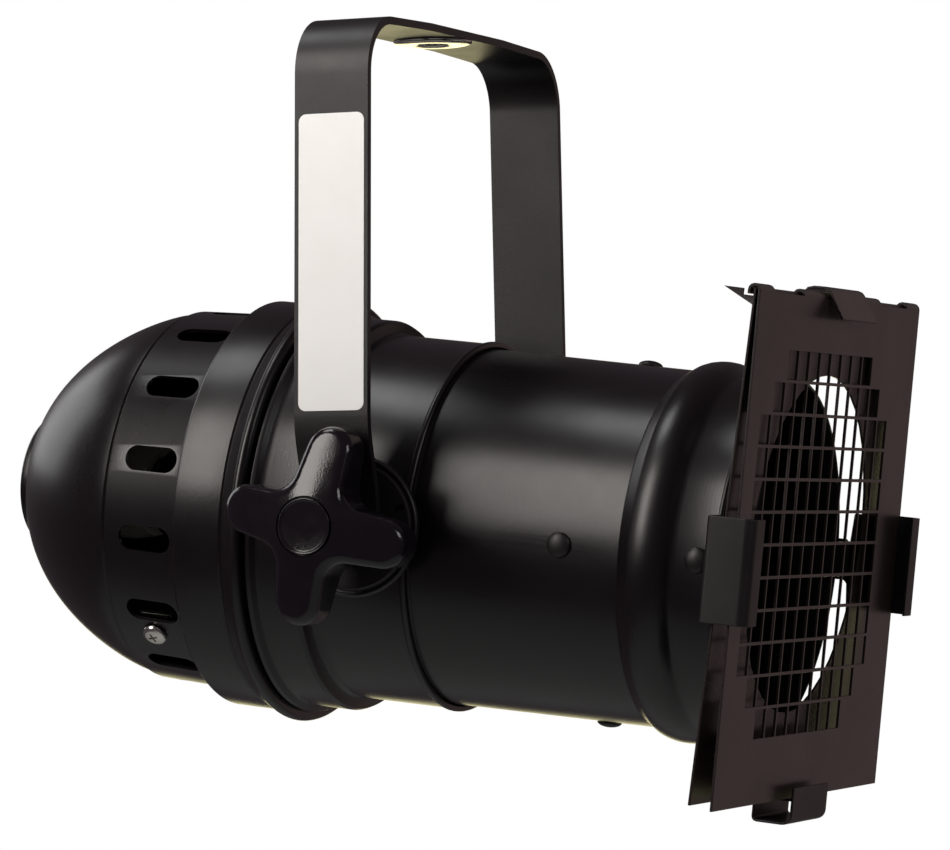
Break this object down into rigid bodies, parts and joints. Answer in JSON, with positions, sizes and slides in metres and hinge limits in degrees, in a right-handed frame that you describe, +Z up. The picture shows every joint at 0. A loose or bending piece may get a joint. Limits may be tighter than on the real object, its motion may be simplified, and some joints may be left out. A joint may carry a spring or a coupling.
{
  "type": "par can",
  "caption": "Stage spotlight: turned steel barrel with a vented rear cap, hung in a flat-bar yoke with lobed knobs, and a hinged gel frame held in clips under a top latch.",
  "frame": {"origin": "centre of the hanging hole, on the top face of the yoke's crossbar", "axes": "+Z up, +X the way the beam points, level, +Y across to the far knob"},
  "size_m": [0.3479, 0.246, 0.3053],
  "materials": {
    "black_powder_coat": "satin black powder coat on steel sheet",
    "brown_black_enamel": "thin brown-black enamel on steel sheet",
    "black_knob_plastic": "moulded black plastic with a slight gloss",
    "zinc_plated_steel": "bright zinc plating",
    "brass": "plain turned brass",
    "black_nylon": "matt black nylon",
    "white_ceramic": "glazed white ceramic",
    "mirrored_glass": "pressed glass with a mirror coat inside",
    "clear_glass": "clear pressed glass"
  },
  "bodies": {
    "yoke": {"yoke": "black_powder_coat", "hang_washer": "zinc_plated_steel", "pivot_washer_near": "zinc_plated_steel", "pivot_washer_far": "zinc_plated_steel"},
    "knob_near": {"knob_near": "black_knob_plastic", "knob_insert_near": "brass", "knob_cap_near": "black_knob_plastic"},
    "knob_far": {"knob_far": "black_knob_plastic", "knob_insert_far": "brass", "knob_cap_far": "black_knob_plastic"},
    "latch": {"latch": "brown_black_enamel", "latch_pin": "zinc_plated_steel"},
    "rear_leaf": {"frame_rear_leaf": "brown_black_enamel"},
    "head": {"baffle_ring": "black_powder_coat", "body_shell": "black_powder_coat", "clip_bottom": "black_powder_coat", "clip_far": "black_powder_coat", "clip_near": "black_powder_coat", "clip_rivet_bottom": "black_powder_coat", "clip_rivet_far": "black_powder_coat", "clip_rivet_near": "black_powder_coat", "frame_front_leaf": "brown_black_enamel", "front_tube": "black_powder_coat", "gland_body": "black_nylon", "gland_nut": "black_nylon", "holder_bracket": "zinc_plated_steel", "lamp_base": "brass", "lamp_bowl": "mirrored_glass", "lamp_holder": "white_ceramic", "lamp_lens": "clear_glass", "latch_bracket": "black_powder_coat", "latch_rivet": "black_powder_coat", "pivot_bolt_far": "zinc_plated_steel", "pivot_bolt_near": "zinc_plated_steel", "pivot_spacer_far": "black_nylon", "pivot_spacer_near": "black_nylon", "rear_cap": "black_powder_coat", "rear_disc": "black_powder_coat", "side_boss_far": "black_powder_coat", "side_boss_near": "black_powder_coat", "side_disc_far": "black_powder_coat", "side_disc_near": "black_powder_coat", "strap_screw_far": "zinc_plated_steel", "strap_screw_near": "zinc_plated_steel", "terminal_block": "white_ceramic", "tube_rivet_bottom": "black_powder_coat", "tube_rivet_far": "black_powder_coat", "tube_rivet_near": "black_powder_coat", "tube_rivet_top": "black_powder_coat"}
  },
  "joints": [
    {"name": "head_tilt", "type": "hinge", "parent": "yoke", "child": "head", "pos_m": [0, 0, -0.192], "axis": [0, 1, 0], "range_deg": [-50, 215]},
    {"name": "knob_near_turn", "type": "hinge", "parent": "head", "child": "knob_near", "pos_m": [0, 0, -0.192], "axis": [0, -1, 0], "continuous": true},
    {"name": "knob_far_turn", "type": "hinge", "parent": "head", "child": "knob_far", "pos_m": [0, 0, -0.192], "axis": [0, 1, 0], "continuous": true},
    {"name": "latch_lift", "type": "hinge", "parent": "head", "child": "latch", "pos_m": [0.14285, 0, -0.12573], "axis": [0, -1, 0], "range_deg": [0, 100]},
    {"name": "leaf_swing", "type": "hinge", "parent": "head", "child": "rear_leaf", "pos_m": [0.16584, 0, -0.10931], "axis": [0, -1, 0], "range_deg": [0, 1]}
  ]
}
